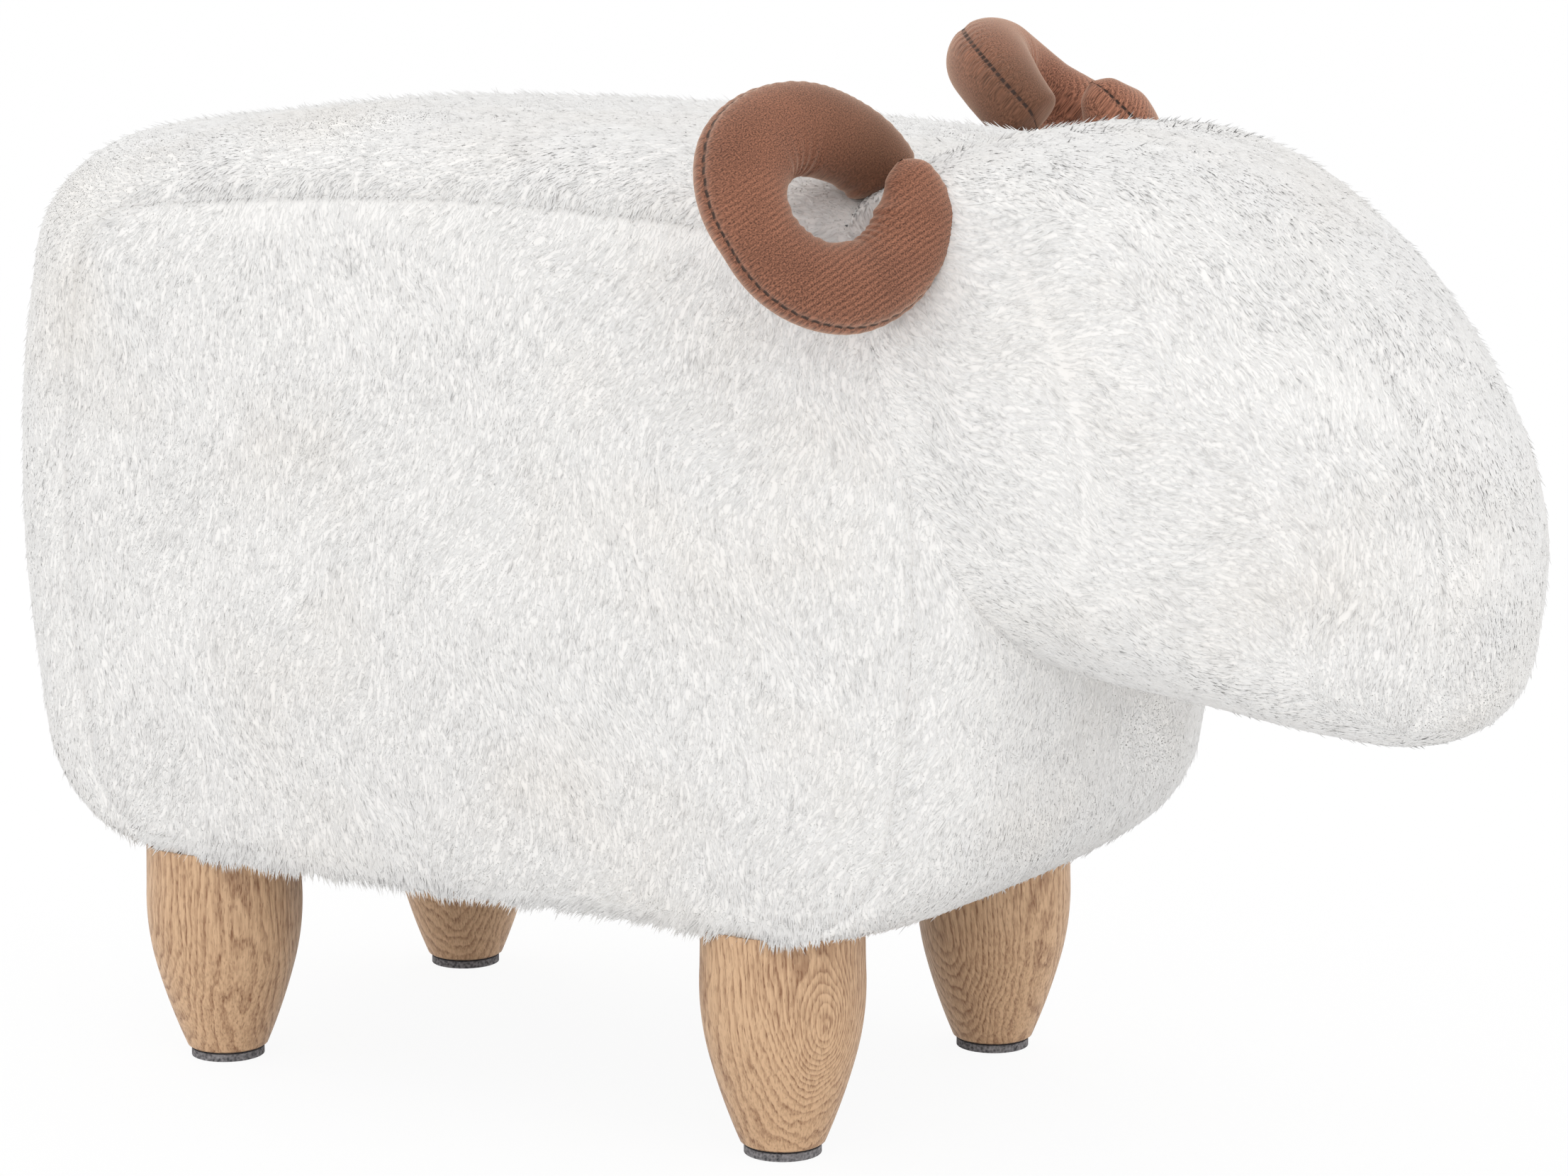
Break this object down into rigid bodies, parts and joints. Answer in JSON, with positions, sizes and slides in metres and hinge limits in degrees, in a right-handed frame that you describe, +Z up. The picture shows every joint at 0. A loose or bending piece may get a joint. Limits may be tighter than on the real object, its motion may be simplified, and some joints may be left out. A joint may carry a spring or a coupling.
{
  "type": "animal footstool",
  "caption": "Upholstered footstool shaped like a ram, with a padded plush body, stuffed head, curled velvet horns and turned wooden legs.",
  "frame": {"origin": "on the floor under the middle of the whole stool's box", "axes": "+X from the rump to the nose, +Y to the animal's left, +Z up"},
  "size_m": [0.6468, 0.3475, 0.4303],
  "materials": {
    "plush": "soft white plush pile, matt",
    "velvet": "brown short-pile velvet",
    "leg_wood": "turned rubberwood under clear matt lacquer",
    "felt": "grey pressed felt",
    "plywood": "raw plywood",
    "pine": "raw sawn pine",
    "zinc_steel": "bright zinc plated",
    "staple_steel": "plain galvanised wire",
    "foam": "open-cell polyurethane foam",
    "fibre_fill": "polyester fibre filling",
    "dust_cloth": "thin black non-woven cloth"
  },
  "bodies": {
    "root": {"back_band": "plush", "base_board": "plywood", "centre_rib": "plywood", "chest_foam": "foam", "corner_post_front_left": "pine", "corner_post_front_right": "pine", "corner_post_rear_left": "pine", "corner_post_rear_right": "pine", "cover_staples": "staple_steel", "dust_cover": "dust_cloth", "flank_panel_left": "plush", "flank_panel_right": "plush", "foot_pad_front_left": "felt", "foot_pad_front_right": "felt", "foot_pad_rear_left": "felt", "foot_pad_rear_right": "felt", "frame_front": "plywood", "frame_rear": "plywood", "frame_screws": "zinc_steel", "frame_side_left": "plywood", "frame_side_right": "plywood", "hanger_bolts": "zinc_steel", "head_gusset": "plush", "head_side_left": "plush", "head_side_right": "plush", "head_stuffing": "fibre_fill", "horn_cover_left": "velvet", "horn_cover_right": "velvet", "horn_stuffing_left": "fibre_fill", "horn_stuffing_right": "fibre_fill", "leg_front_left": "leg_wood", "leg_front_right": "leg_wood", "leg_rear_left": "leg_wood", "leg_rear_right": "leg_wood", "rump_foam": "foam", "seat_board": "plywood", "seat_foam": "foam", "side_foam_left": "foam", "side_foam_right": "foam", "tee_nuts": "zinc_steel"}
  },
  "joints": []
}
